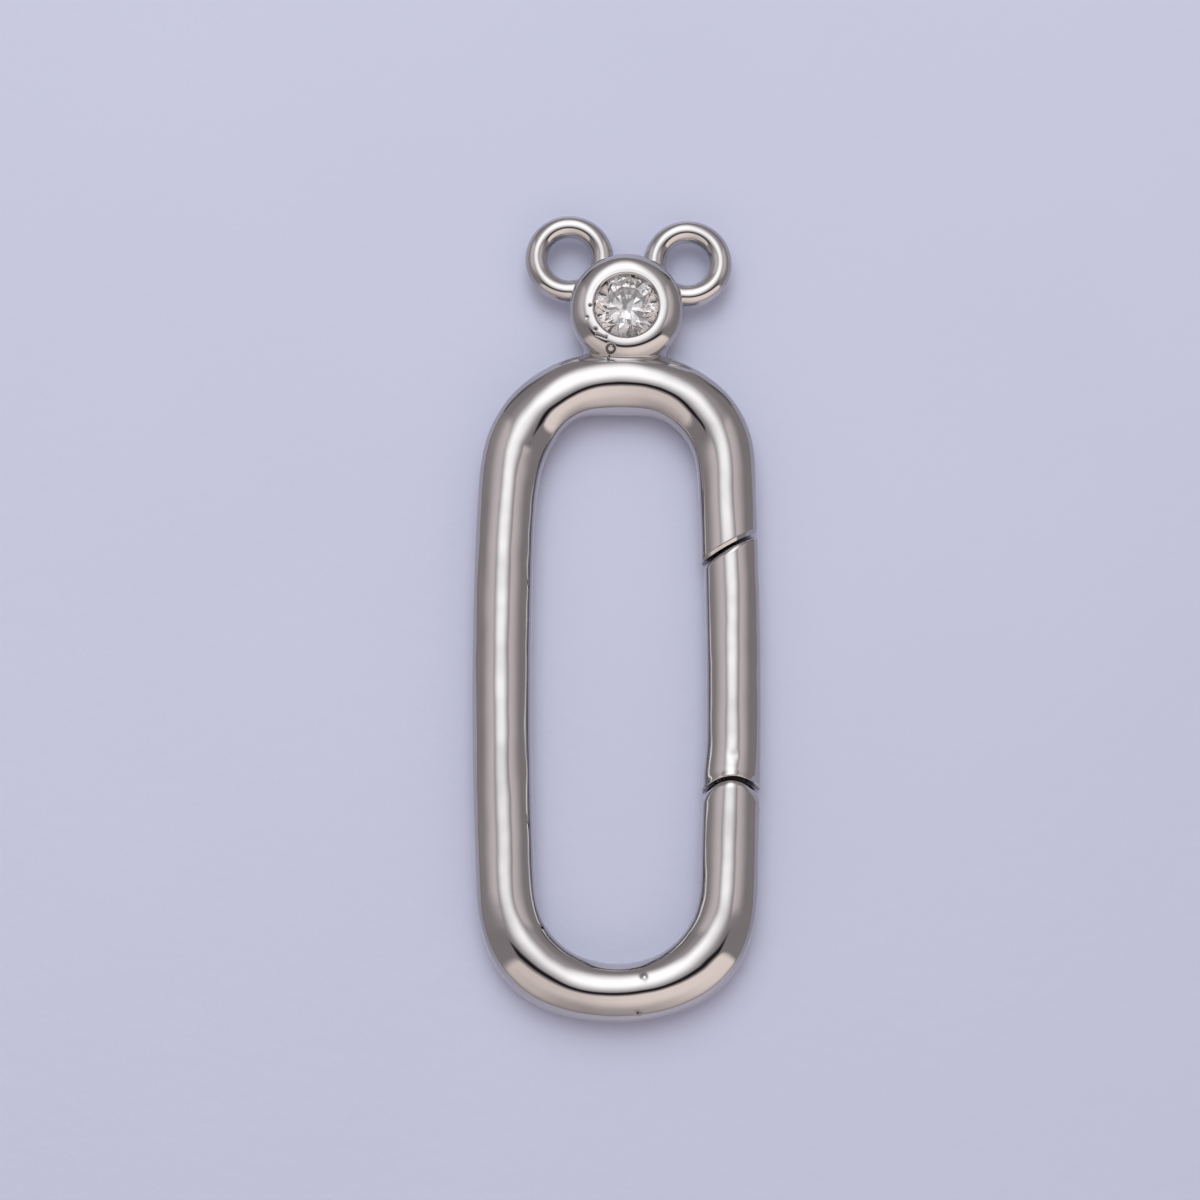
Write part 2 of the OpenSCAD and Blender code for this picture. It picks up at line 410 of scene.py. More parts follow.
def ring_field(points, along):
    """The ring's wire, open where the gate is, with softly rounded ends and a bevel at the latch."""
    outside, along = LINE.outside(points, along)
    up = points[:, 2] - MID_Z
    outside = outside - LINE.lean(along) * up
    wire = np.hypot(outside / LINE.half_width(along), up) - WIRE_R - flank(outside, up)
    left_of_gate = points[:, 0] - JOINTS_LEFT_X
    stubs = np.minimum.reduce([past_dome(points, DOME_R), -over_latch(points), left_of_gate])
    edge_r = np.where(points[:, 1] < HINGE_TOP_Y, DOME_EDGE_R, LATCH_EDGE_R)
    stub = keep_both(wire, stubs, edge_r)
    near_latch = np.hypot(points[:, 0] - LATCH[0], points[:, 1] - LATCH[1]) < BEVEL_REACH
    bevel = wire * math.cos(BEVEL_SLOPE) + (BEVEL_LENGTH - over_latch(points)) * math.sin(BEVEL_SLOPE)
    return np.where(near_latch, np.maximum(stub, bevel), stub)


def frame_plain(points, along):
    """The ring, bezel and loops in one piece of metal, before its small flaws."""
    depth = np.clip(SOLDER_TOP_Z - points[:, 2], 0, 1)
    solder_r = SOLDER_TOP_R + (SOLDER_LOW_R - SOLDER_TOP_R) * depth * depth * (3 - 2 * depth)
    body = fillet(ring_field(points, along), bezel_outside(points), solder_r)
    body = fillet(body, loops_field(points), LOOP_SOLDER_R)
    return keep_both(body, -bezel_cup(points), CREST_EDGE_R)


def frame_field(points, along, flaws):
    """The frame with its pits and bumps, each a place, a radius and a depth."""
    field = frame_plain(points, along)
    for place, radius, depth in flaws:
        far = np.linalg.norm(points - place, axis=1)
        field = field + depth * np.exp(-(far / radius) ** 2)
    return field


def gate_field(points, along):
    """The gate's wire with its slanted top and the hollow that runs round the dome."""
    outside, _ = LINE.outside(points, along)
    outside = outside - gate_shift(points)
    up = points[:, 2] - MID_Z
    wire = np.hypot(outside, up) - gate_radius(points) - flank(outside, up)
    above_hollow = past_dome(points, HOLLOW_R, HOLLOW_SHIFT)
    lip_share = np.clip(0.5 + up, 0, 1) * np.clip(LIP_SPAN - np.abs(outside - LIP_MIDDLE), 0, 1)
    lip = LIP_HEIGHT * np.exp(-(above_hollow / LIP_WIDTH) ** 2) * lip_share
    far = np.linalg.norm(points - np.array(DIMPLE), axis=1)
    dimple = DIMPLE_DEPTH * np.exp(-(far / DIMPLE_R) ** 2)
    between = np.maximum(-above_hollow, over_latch(points, LATCH_GAP))
    edge_r = np.where(points[:, 1] < HINGE_TOP_Y, GATE_HOLLOW_EDGE_R, GATE_TOP_EDGE_R)
    return keep_both(wire - lip + dimple, between, edge_r)


def slope_of(field, points, along):
    """The field's steepest direction at each point, with its true length."""
    parts = []
    for axis in range(3):
        shift = np.zeros(3)
        shift[axis] = SKIN_STEP
        parts.append((field(points + shift, along) - field(points - shift, along)) / (2 * SKIN_STEP))
    return np.column_stack(parts)


def onto_skin(field, points, along, rounds=4, reach=0.2, least_slope=0.25):
    """Moves points straight onto the field's skin, each round by no more than the reach."""
    moved = points.copy()
    for _ in range(rounds):
        slope = slope_of(field, moved, along)
        size = np.maximum(np.sum(slope * slope, axis=1), least_slope)
        step = (field(moved, along) / size)[:, None] * slope
        moved = moved - np.clip(step, -reach, reach)
    return moved


# Meshes in millimetres

def mesh_object(name, points, faces):
    """A new object from points and faces."""
    mesh = bpy.data.meshes.new(name)
    mesh.from_pydata([tuple(p) for p in points], [], faces)
    mesh.update()
    thing = bpy.data.objects.new(name, mesh)
    bpy.context.scene.collection.objects.link(thing)
    return thing


def rows_object(name, rows, start, end):
    """A closed skin from rings of points, with a single point at each end."""
    count = len(rows[0])
    points = [start]
    for row in rows:
        points.extend(row)
    points.append(end)
    faces = []
    for k in range(count):
        faces.append((0, 1 + (k + 1) % count, 1 + k))
    for row in range(len(rows) - 1):
        low = 1 + row * count
        for k in range(count):
            after = (k + 1) % count
            faces.append((low + k, low + after, low + count + after, low + count + k))
    low = 1 + (len(rows) - 1) * count
    for k in range(count):
        faces.append((low + k, low + (k + 1) % count, len(points) - 1))
    return mesh_object(name, points, faces)


def face_outward(thing):
    """Turns a closed mesh's faces so that they all face out."""
    shell = bmesh.new()
    shell.from_mesh(thing.data)
    bmesh.ops.recalc_face_normals(shell, faces=shell.faces)
    shell.to_mesh(thing.data)
    shell.free()
    return thing


def wire_points(along, angle, radius, shift=0.0):
    """Points on a wire round the centre line. Angle 0 faces out of the ring, a quarter turn faces up."""
    middle, direction = LINE.at(along)
    outward = np.column_stack([direction[:, 1], -direction[:, 0]])
    level = LINE.half_width(along) * np.cos(angle) + LINE.lean(along) * np.sin(angle)
    flat = middle + (shift + radius * level)[:, None] * outward
    return np.column_stack([flat, MID_Z + radius * np.sin(angle)])


# How far to both sides of a place a cut is looked for
CUT_REACH = 2.6


def crossing(limit, near, angles, radius, shift):
    """Where each line along the wire's skin meets a cut, about a place along the ring."""
    tries = np.linspace(near - CUT_REACH, near + CUT_REACH, 240)
    found = []
    for angle in angles:
        value = limit(wire_points(tries, np.full(len(tries), angle), radius, shift))
        order = np.argsort(value)
        found.append(np.interp(0, value[order], tries[order]))
    return np.array(found)


# The rows of points at a cut: along the skin from its edge, and from the edge in over the cut's face
EDGE_STEPS = (0.0, 0.02, 0.045, 0.075, 0.11, 0.15, 0.21, 0.3)
CAP_STEPS = (0.02, 0.045, 0.075, 0.11, 0.15, 0.21, 0.3, 0.45, 0.65, 0.85, 1.02)


def cut_wire(name, start_cut, start_near, end_cut, end_near, radius_at, shift_at, around, step):
    """A length of wire between two cuts, with fine rows at both of its ends."""
    angles = np.arange(around) * 2 * math.pi / around

    def cap(limit, near):
        middle = wire_points(np.array([near]), np.zeros(1), 0.0)
        radius = radius_at(middle)[0]
        shift = shift_at(middle)[0]
        rows = []
        for inset in CAP_STEPS:
            along = crossing(limit, near, angles, radius - inset, shift)
            rows.append(wire_points(along, angles, radius - inset, shift))
        centre = crossing(limit, near, [0.0], 0.0, shift)
        rim = crossing(limit, near, angles, radius, shift)
        return rim, rows, wire_points(centre, np.zeros(1), 0.0, shift)[0]

    start_rim, start_rows, start_centre = cap(start_cut, start_near)
    end_rim, end_rows, end_centre = cap(end_cut, end_near)
    length = float(np.mean(end_rim - start_rim))
    edge = np.array(EDGE_STEPS[:-1])
    inner = np.linspace(EDGE_STEPS[-1], length - EDGE_STEPS[-1], int(length / step))
    places = np.concatenate([edge, inner, length - edge[::-1]]) / length
    rows = start_rows[::-1]
    for place in places:
        along = start_rim + place * (end_rim - start_rim)
        middle = wire_points(along, angles, WIRE_R)
        rows.append(wire_points(along, angles, radius_at(middle), shift_at(middle)))
    rows = rows + end_rows
    return face_outward(rows_object(name, rows, start_centre, end_centre))


def bezel_object():
    """The bezel, turned from its section, from the middle of its back up and into its cup."""
    low_turn = math.asin(-WAIST_Z / LOWER_H)
    back_radii = (0.4, 0.8, 1.2, 1.5)
    section = [(out, 0.0) for out in back_radii]
    for turn in np.linspace(low_turn, math.pi / 2, 60):
        height = CREST_Z - WAIST_Z if turn > 0 else LOWER_H
        section.append((CREST_R + SHOULDER_W * math.cos(turn), WAIST_Z + height * math.sin(turn)))
    foot_r = 0.3
    corners = [
        (CREST_R, CREST_Z),
        (FLARE_R, CREST_Z),
        (OPENING_R, FLARE_FOOT_Z),
        (OPENING_R, OPENING_FOOT_Z),
        (SEAT_R, SEAT_TOP_Z),
        (SEAT_R, SEAT_LOW_Z),
        (foot_r, SEAT_FOOT_Z + foot_r * (SEAT_LOW_Z - SEAT_FOOT_Z) / SEAT_R),
    ]
    rows_between = (2, 10, 3, 4, 3, 12)
    for first, second, count in zip(corners, corners[1:], rows_between):
        for share in np.arange(1, count + 1) / count:
            section.append(tuple(np.array(first) * (1 - share) + np.array(second) * share))
    around = 168
    turns = np.arange(around) * 2 * math.pi / around
    rows = []
    for out, z in section:
        ring = np.column_stack([BEZEL[0] + out * np.cos(turns), BEZEL[1] + out * np.sin(turns)])
        rows.append(np.column_stack([ring, np.full(around, z)]))
    bottom = (BEZEL[0], BEZEL[1], 0.0)
    cup = (BEZEL[0], BEZEL[1], SEAT_FOOT_Z)
    return face_outward(rows_object("bezel", rows, bottom, cup))


def loop_object(centre):
    """A round wire loop."""
    around, across = 132, 48
    points = []
    faces = []
    for i in range(around):
        turn = 2 * math.pi * i / around
        for j in range(across):
            tilt = 2 * math.pi * j / across
            out = LOOP_R + LOOP_WIRE_R * math.cos(tilt)
            x = centre[0] + out * math.cos(turn)
            y = centre[1] + out * math.sin(turn)
            points.append((x, y, MID_Z + LOOP_WIRE_R * math.sin(tilt)))
            after_i = (i + 1) % around
            after_j = (j + 1) % across
            faces.append((
                i * across + j,
                after_i * across + j,
                after_i * across + after_j,
                i * across + after_j,
            ))
    return face_outward(mesh_object("loop", points, faces))


def prism(name, outline, low, high):
    """An upright block over a flat outline."""
    count = len(outline)
    points = [(x, y, low) for x, y in outline] + [(x, y, high) for x, y in outline]
    faces = [tuple(range(count)), tuple(range(2 * count - 1, count - 1, -1))]
    for k in range(count):
        after = (k + 1) % count
        faces.append((k, after, count + after, count + k))
    return face_outward(mesh_object(name, points, faces))


def disc(centre, radius, count=72):
    """Points evenly round a circle."""
    turns = np.arange(count) * 2 * math.pi / count
    return np.column_stack([centre[0] + radius * np.cos(turns), centre[1] + radius * np.sin(turns)])


def combine(base, tool, operation):
    """Joins or cuts one closed mesh with another, and removes the tool."""
    step = base.modifiers.new("combine", "BOOLEAN")
    step.operation = operation
    step.solver = "MANIFOLD"
    step.object = tool
    bpy.context.view_layer.update()
    made = bpy.data.meshes.new_from_object(base.evaluated_get(bpy.context.evaluated_depsgraph_get()))
    base.modifiers.clear()
    base.data = made
    bpy.data.objects.remove(tool)
    return base


def slot_outline():
    """The slot in the lower stub, seen from above, open as far as the gate swings."""
    half = TONGUE_HALF_W + SLOT_GAP
    swing_x = np.array([math.cos(SLOT_TURN), -math.sin(SLOT_TURN)])
    swing_y = np.array([math.sin(SLOT_TURN), math.cos(SLOT_TURN)])
    corners = [
        (-half, 0.0),
        tuple(half * swing_x),
        tuple(half * swing_x + SLOT_OUT * swing_y),
        (SLOT_OUT, SLOT_OUT),
        (-half, SLOT_OUT),
    ]
    return [(HINGE[0] + x, HINGE[1] + y) for x, y in corners]


# An edge this many times longer than wanted is split, and a point this near the skin is put onto it
TOO_LONG = 1.45
SETTLE_REACH = 0.3

# A face's corner takes the field's normal from a little inside the face, where both agree this well
CORNER_INSET = 0.02
NORMALS_AGREE = 0.75


def refine(thing, field, wanted, passes):
    """Splits edges much longer than wanted(points, along) says, and keeps the points on the skin."""
    shell = bmesh.new()
    shell.from_mesh(thing.data)
    bmesh.ops.triangulate(shell, faces=shell.faces)
    for _ in range(passes):
        shell.verts.index_update()
        points = np.array([v.co for v in shell.verts], float)
        ends = np.array([(e.verts[0].index, e.verts[1].index) for e in shell.edges])
        length = np.linalg.norm(points[ends[:, 0]] - points[ends[:, 1]], axis=1)
        middle = (points[ends[:, 0]] + points[ends[:, 1]]) / 2
        long = length > TOO_LONG * wanted(middle, LINE.nearest(middle))
        if not long.any():
            break
        edges = [e for e, chosen in zip(shell.edges, long) if chosen]
        bmesh.ops.subdivide_edges(shell, edges=edges, cuts=1)
        bmesh.ops.triangulate(shell, faces=[f for f in shell.faces if len(f.verts) > 3])
        settle(shell, field)
    shell.to_mesh(thing.data)
    shell.free()
    return thing


def settle(shell, field):
    """Moves the points that lie near the field's skin onto it."""
    points = np.array([v.co for v in shell.verts], float)
    along = LINE.nearest(points)
    near = np.abs(field(points, along)) < SETTLE_REACH
    moved = points.copy()
    moved[near] = onto_skin(field, points[near], along[near])
    for vert, place in zip(shell.verts, moved):
        vert.co = place


def polish(thing, field, on_skin, shade_and_tarnish_at):
    """Settles a mesh on its field, scales it to metres, and gives it the field's normals and its painted
    shade and tarnish.
    A face that the field doesn't know, such as a slot's wall, keeps its flat normal."""
    mesh = thing.data
    points = np.zeros(len(mesh.vertices) * 3)
    mesh.vertices.foreach_get("co", points)
    points = points.reshape(-1, 3)
    along = LINE.nearest(points)
    near = on_skin(points, field(points, along))
    points[near] = onto_skin(field, points[near], along[near])
    mesh.vertices.foreach_set("co", points.ravel())
    mesh.update()
    corner = np.zeros(len(mesh.loops), int)
    mesh.loops.foreach_get("vertex_index", corner)
    starts = np.zeros(len(mesh.polygons), int)
    totals = np.zeros(len(mesh.polygons), int)
    mesh.polygons.foreach_get("loop_start", starts)
    mesh.polygons.foreach_get("loop_total", totals)
    face = np.repeat(np.arange(len(totals)), totals)
    centres = np.add.reduceat(points[corner], starts, axis=0) / totals[:, None]
    flat = np.zeros(len(mesh.polygons) * 3)
    mesh.polygons.foreach_get("normal", flat)
    flat = flat.reshape(-1, 3)[face]
    near_corner = points[corner] + CORNER_INSET * (centres[face] - points[corner])
    normal = slope_of(field, near_corner, along[corner])
    normal = normal / np.maximum(np.linalg.norm(normal, axis=1), 1e-9)[:, None]
    agrees = np.sum(normal * flat, axis=1) > NORMALS_AGREE
    normal[~agrees] = flat[~agrees]
    mesh.vertices.foreach_set("co", (points * MM).ravel())
    mesh.polygons.foreach_set("use_smooth", np.ones(len(mesh.polygons), bool))
    mesh.normals_split_custom_set(normal.tolist())
    # This point attribute paints shade into the joints' gaps and along the crease round the solder, over
    # dull tarnish there, and darkens the deep pits.
    shade_and_tarnish = mesh.attributes.new("shade_and_tarnish", "FLOAT", "POINT")
    shade_and_tarnish.data.foreach_set("value", np.clip(shade_and_tarnish_at(points, along), 0, 1))
    mesh.update()
    return thing


def gap_shade(points, outside):
    """How dark the painted shade in the joints' gaps is: the latch's faces less so, and the hinge's not
    on its inner side.
    """
    share = np.clip((outside - HINGE_UNSHADED_OUT) / HINGE_UNSHADED_RISE, 0, 1)
    return np.where(points[:, 1] < HINGE_TOP_Y, HINGE_SHADE * share, LATCH_SHADE)


def flaw_places():
    """Where each flaw lies on the frame's upper skin."""
    found = []
    for x, y, radius, depth in FLAWS:
        found.append((on_top(x, y), radius, depth))
    x, y, hole_r, half_width, depth = BLOWHOLE
    for k in range(BLOWHOLE_PITS):
        turn = 2 * math.pi * k / BLOWHOLE_PITS
        place = on_top(x + hole_r * math.cos(turn), y + hole_r * math.sin(turn))
        found.append((place, half_width, depth))
    return found


def on_top(x, y):
    """The point of the frame's upper skin over a place in plan, sunk down to from above."""
    start_z = 3.0
    step_share = 0.7
    point = np.array([[x, y, start_z]])
    along = LINE.nearest(point)
    for _ in range(60):
        point[0, 2] -= step_share * frame_plain(point, along)[0]
    return point[0]


# How long an edge may be: anywhere, round the solder's hollow, round the loops' joints, and in a flaw, as
# a share of its radius. A fine stretch reaches this far from both skins, or from the flaw's middle.
PLAIN_EDGE = 9.0
SOLDER_EDGE = 0.075
SOLDER_REACH = 0.65
LOOP_EDGE = 0.03
LOOP_REACH = 0.12
FLAW_EDGE_SHARE = 0.3
FLAW_REACH_SHARE = 2.4

# Only some points are settled: near the pin, those this close to the ring's skin, and on the gate, those
# this close to its skin and this far above the pin
HIDDEN_R = 1.5
HIDDEN_REACH = 0.02
GATE_REACH = 0.12
GATE_SKIN_RISE = 1.2

# How far the blanks run on into what they cut or join
BORE_FOOT_Z = -0.5
TONGUE_ROOT = 0.5


def frame_piece():
    """The ring, bezel and loops as one skin, with the slot and bore for the gate's tongue and pin."""
    hinge_near = LINE.nearest(np.array([[HINGE[0], HINGE[1] + DOME_R, 0]]))[0]
    latch_near = LINE.nearest(np.array([[LATCH[0], LATCH[1], 0]]))[0]
    thing = cut_wire(
        "frame_metal",
        lambda p: -over_latch(p), latch_near,
        lambda p: past_dome(p, DOME_R), hinge_near + LINE.length,
        lambda p: np.full(len(p), WIRE_R), lambda p: np.zeros(len(p)),
        around=84, step=0.13,
    )
    combine(thing, bezel_object(), "UNION")
    for centre in LOOPS:
        combine(thing, loop_object(centre), "UNION")
    low = MID_Z - TONGUE_HALF_T - SLOT_GAP
    high = MID_Z + TONGUE_HALF_T + SLOT_GAP
    combine(thing, prism("slot", slot_outline(), low, high), "DIFFERENCE")
    combine(thing, prism("eye_room", disc(HINGE, EYE_R + SLOT_GAP), low, high), "DIFFERENCE")
    combine(thing, prism("bore", disc(HINGE, PIN_R + PIN_SEAT_GAP), BORE_FOOT_Z, PIN_TOP), "DIFFERENCE")

    flaws = flaw_places()

    def field(points, along):
        return frame_field(points, along, flaws)

    def wanted(points, along):
        size = np.full(len(points), PLAIN_EDGE)
        bezel = np.abs(bezel_outside(points))
        ring = np.abs(ring_field(points, along))
        loops = np.abs(loops_field(points))
        size[np.maximum(bezel, ring) < SOLDER_REACH] = SOLDER_EDGE
        size[np.maximum(bezel, loops) < LOOP_REACH] = LOOP_EDGE
        for place, radius, _ in flaws:
            near = np.linalg.norm(points - place, axis=1) < FLAW_REACH_SHARE * radius
            size[near] = np.minimum(size[near], FLAW_EDGE_SHARE * radius)
        return size

    refine(thing, field, wanted, passes=4)

    def on_skin(points, value):
        hidden = np.hypot(points[:, 0] - HINGE[0], points[:, 1] - HINGE[1]) < HIDDEN_R
        return (np.abs(value) < SETTLE_REACH) & ~(hidden & (np.abs(value) > HIDDEN_REACH))

    # Painted shade in the joints' gaps and along the crease round the solder, over dull tarnish, and
    # darker deep pits
    def shade_and_tarnish_at(points, along):
        outside, along = LINE.outside(points, along)
        inside = WIRE_R - np.hypot(outside / LINE.half_width(along), points[:, 2] - MID_Z)
        joints = (points[:, 0] > JOINTS_LEFT_X) & (points[:, 1] < JOINTS_TOP_Y)
        gap = np.clip((inside - RING_UNSHADED_DEPTH) / SHADE_RISE, 0, 1)
        dark = np.where(joints, gap, 0) * gap_shade(points, outside)
        # Painted shade along the crease where the ring and bezel meet
        meeting = np.hypot(ring_field(points, along), bezel_outside(points))
        dark = np.maximum(dark, SOLDER_SHADE * np.exp(-(meeting / SOLDER_SHADE_R) ** 2))
        # Deep pits are painted darker, a little past their own radius
        for place, radius, depth in flaws:
            if depth > DARK_PIT_DEPTH:
                far = np.hypot(points[:, 0] - place[0], points[:, 1] - place[1])
                pit = PIT_DARKENING * np.exp(-(far / (PIT_DARKENING_SPREAD * radius)) ** 2)
                dark = np.maximum(dark, np.where(points[:, 2] > MID_Z, pit, 0))
        return dark

    return polish(thing, field, on_skin, shade_and_tarnish_at)


def gate_piece():
    """The gate, with the flat tongue that turns on the hinge pin."""
    hinge_near = LINE.nearest(np.array([[HINGE[0], HINGE[1] + HOLLOW_R, 0]]))[0]
    latch_near = LINE.nearest(np.array([[LATCH[0], LATCH[1], 0]]))[0]
    thing = cut_wire(
        "gate_metal",
        lambda p: past_dome(p, HOLLOW_R, HOLLOW_SHIFT), hinge_near,
        lambda p: over_latch(p, LATCH_GAP), latch_near,
        gate_radius, gate_shift,
        around=84, step=0.11,
    )
    low = MID_Z - TONGUE_HALF_T
    high = MID_Z + TONGUE_HALF_T
    left = HINGE[0] - TONGUE_HALF_W
    right = HINGE[0] + TONGUE_HALF_W
    top = HINGE[1] + HOLLOW_R + TONGUE_ROOT
    strap = [(left, HINGE[1]), (right, HINGE[1]), (right, top), (left, top)]
    tongue = combine(
        prism("tongue", strap, low, high), prism("eye", disc(HINGE, EYE_R), low, high), "UNION"
    )
    combine(thing, tongue, "UNION")
    combine(thing, prism("pin_room", disc(HINGE, PIN_R + PIN_RUN_GAP), 0.0, 2 * WIRE_R), "DIFFERENCE")

    def on_skin(points, value):
        return (np.abs(value) < GATE_REACH) & (points[:, 1] > HINGE[1] + GATE_SKIN_RISE)

    # Painted shade on the gate's faces inside its joints, over dull tarnish
    def shade_and_tarnish_at(points, along):
        outside, along = LINE.outside(points, along)
        wire = np.hypot(outside - gate_shift(points), points[:, 2] - MID_Z) - gate_radius(points)
        return np.clip((-wire - GATE_UNSHADED_DEPTH) / SHADE_RISE, 0, 1) * gap_shade(points, outside)

    return polish(thing, gate_field, on_skin, shade_and_tarnish_at)


def through(first, second, third):
    """The plane through three points, as a point and a normal that faces away from the stone's middle."""
    normal = (Vector(second) - Vector(first)).cross(Vector(third) - Vector(first)).normalized()
    if normal.dot(Vector(first) - Vector((0, 0, (TABLE_Z + CULET_Z) / 2))) < 0:
        normal.negate()
    return Vector(first), normal


def facet_planes():
    """The planes of a round brilliant's facets, about the stone's axis: it has eight sides."""
    step = math.pi / 8

    def ring(radius, k, z):
        turn = k * step + STONE_TURN
        return (radius * math.cos(turn), radius * math.sin(turn), z)

    crown_slope = (TABLE_Z - GIRDLE_TOP_Z) / (STONE_R - TABLE_R)
    star_z = TABLE_Z - (STAR_R * math.cos(step) - TABLE_R) * crown_slope
    lower_slope = (GIRDLE_LOW_Z - CULET_Z) / STONE_R
    lower_z = CULET_Z + LOWER_R * math.cos(step) * lower_slope
    planes = [(Vector((0, 0, TABLE_Z)), Vector((0, 0, 1)))]
    for k in range(0, 16, 2):
        star = ring(STAR_R, k + 1, star_z)
        lower = ring(LOWER_R, k + 1, lower_z)
        planes.append(through(ring(TABLE_R, k, TABLE_Z), ring(TABLE_R, k + 2, TABLE_Z), star))
        planes.append(through(ring(STONE_R, k, GIRDLE_TOP_Z), star, ring(STAR_R, k - 1, star_z)))
        planes.append(through((0, 0, CULET_Z), lower, ring(LOWER_R, k - 1, lower_z)))
        for corner in (k, k + 2):
            top = ring(STONE_R, corner, GIRDLE_TOP_Z)
            planes.append(through(star, top, ring(STONE_R, k + 1, GIRDLE_TOP_Z)))
            low = ring(STONE_R, corner, GIRDLE_LOW_Z)
            planes.append(through(lower, low, ring(STONE_R, k + 1, GIRDLE_LOW_Z)))
    return planes


def stone_piece():
    """The round brilliant, ground from a disc one facet at a time."""
    shell = bmesh.new()
    bmesh.ops.create_cone(
        shell, cap_ends=True, segments=96, radius1=STONE_R, radius2=STONE_R, depth=2 * (TABLE_Z - CULET_Z)
    )
    bmesh.ops.translate(shell, verts=shell.verts, vec=(0, 0, (TABLE_Z + CULET_Z) / 2))
    for point, normal in facet_planes():
        everything = list(shell.verts) + list(shell.edges) + list(shell.faces)
        bmesh.ops.bisect_plane(
            shell, geom=everything, dist=1e-5, plane_co=point, plane_no=normal, clear_outer=True
        )
        bmesh.ops.holes_fill(shell, edges=[e for e in shell.edges if e.is_boundary], sides=0)
    bmesh.ops.recalc_face_normals(shell, faces=shell.faces)
    bmesh.ops.translate(shell, verts=shell.verts, vec=(BEZEL[0], BEZEL[1], 0))
    bmesh.ops.scale(shell, verts=shell.verts, vec=(MM, MM, MM))
    mesh = bpy.data.meshes.new("stone_brilliant")
    shell.to_mesh(mesh)
    shell.free()
    thing = bpy.data.objects.new("stone_brilliant", mesh)
    bpy.context.scene.collection.objects.link(thing)
    return thing


# Materials: the colours of clean and rubbed metal, of tarnished metal in painted shade, and two tones
# each of stone and paper
METAL = (0.665, 0.652, 0.648)
METAL_RUBBED = (0.635, 0.62, 0.613)
METAL_SHADE_AND_TARNISH = (0.03, 0.024, 0.026)
TARNISH_ROUGHNESS = 0.3
STONE_TONES = ((0.99, 0.985, 0.985), (0.97, 0.96, 0.965))
PAPER_TONES = ((0.77, 0.81, 0.99), (0.755, 0.795, 0.975))


def new_material(name):
    """An empty node material, with its shader and output."""
    material = bpy.data.materials.new(name)
    material.use_nodes = True
    nodes = material.node_tree.nodes
    nodes.clear()
    shader = nodes.new("ShaderNodeBsdfPrincipled")
    output = nodes.new("ShaderNodeOutputMaterial")
    material.node_tree.links.new(shader.outputs[0], output.inputs["Surface"])
    return material, material.node_tree, shader


def noise(tree, scale, detail=2.0, roughness=0.5):
    """Cloudy noise over the object, in metres: a scale of 1000 has one cloud a millimetre."""
    place = tree.nodes.new("ShaderNodeTexCoord")
    cloud = tree.nodes.new("ShaderNodeTexNoise")
    cloud.inputs["Scale"].default_value = scale
    cloud.inputs["Detail"].default_value = detail
    cloud.inputs["Roughness"].default_value = roughness
    tree.links.new(place.outputs["Object"], cloud.inputs["Vector"])
    return cloud.outputs["Fac"]


def spread(tree, value, low, high, start=0.3, end=0.7):
    """Maps a noise value onto a range."""
    remap = tree.nodes.new("ShaderNodeMapRange")
    remap.inputs["From Min"].default_value = start
    remap.inputs["From Max"].default_value = end
    remap.inputs["To Min"].default_value = low
    remap.inputs["To Max"].default_value = high
    tree.links.new(value, remap.inputs["Value"])
    return remap.outputs["Result"]


def two_tone(tree, value, first, second):
    """A colour between two, by a value from 0 to 1."""
    blend = tree.nodes.new("ShaderNodeMix")
    blend.data_type = "RGBA"
    blend.inputs["A"].default_value = (*first, 1)
    blend.inputs["B"].default_value = (*second, 1)
    tree.links.new(value, blend.inputs["Factor"])
    return blend.outputs["Result"]


def bump(tree, height, distance, below=None):
    """Raises the surface by a height map, distance metres from low to high."""
    relief = tree.nodes.new("ShaderNodeBump")
    relief.inputs["Strength"].default_value = 1.0
    relief.inputs["Distance"].default_value = distance
    tree.links.new(height, relief.inputs["Height"])
    if below is not None:
        tree.links.new(below, relief.inputs["Normal"])
    return relief.outputs["Normal"]


def polished_metal():
    """White plating, polished by hand: soft waves, a fine haze, and painted shade over dull tarnish in
    the gaps.
    """
    material, tree, shader = new_material("polished_metal")
    shader.inputs["Metallic"].default_value = 1.0
    rubbed = spread(tree, noise(tree, scale=420, detail=3), 0, 1)
    clean = two_tone(tree, rubbed, METAL, METAL_RUBBED)
    # The attribute's painted shade in the gaps and along the solder's crease darkens the base colour
    # nearly to black, and dulls it
    shade_and_tarnish = tree.nodes.new("ShaderNodeAttribute")
    shade_and_tarnish.attribute_name = "shade_and_tarnish"
    tint = two_tone(tree, shade_and_tarnish.outputs["Fac"], METAL, METAL_SHADE_AND_TARNISH)
    tree.links.new(clean, tint.node.inputs["A"])
    haze = spread(tree, noise(tree, scale=1500, detail=4, roughness=0.6), low=0.03, high=0.065)
    dull = tree.nodes.new("ShaderNodeMath")
    dull.operation = "MULTIPLY_ADD"
    dull.inputs[1].default_value = TARNISH_ROUGHNESS
    tree.links.new(shade_and_tarnish.outputs["Fac"], dull.inputs[0])
    tree.links.new(haze, dull.inputs[2])
    wave = bump(tree, noise(tree, scale=300, detail=1.5), distance=1.4e-4)
    dents = bump(tree, noise(tree, scale=1300, detail=2), distance=1.5e-6, below=wave)
    grain = bump(tree, noise(tree, scale=9000, detail=3), distance=8e-8, below=dents)
    tree.links.new(tint, shader.inputs["Base Color"])
    tree.links.new(dull.outputs[0], shader.inputs["Roughness"])
    tree.links.new(grain, shader.inputs["Normal"])
    return material


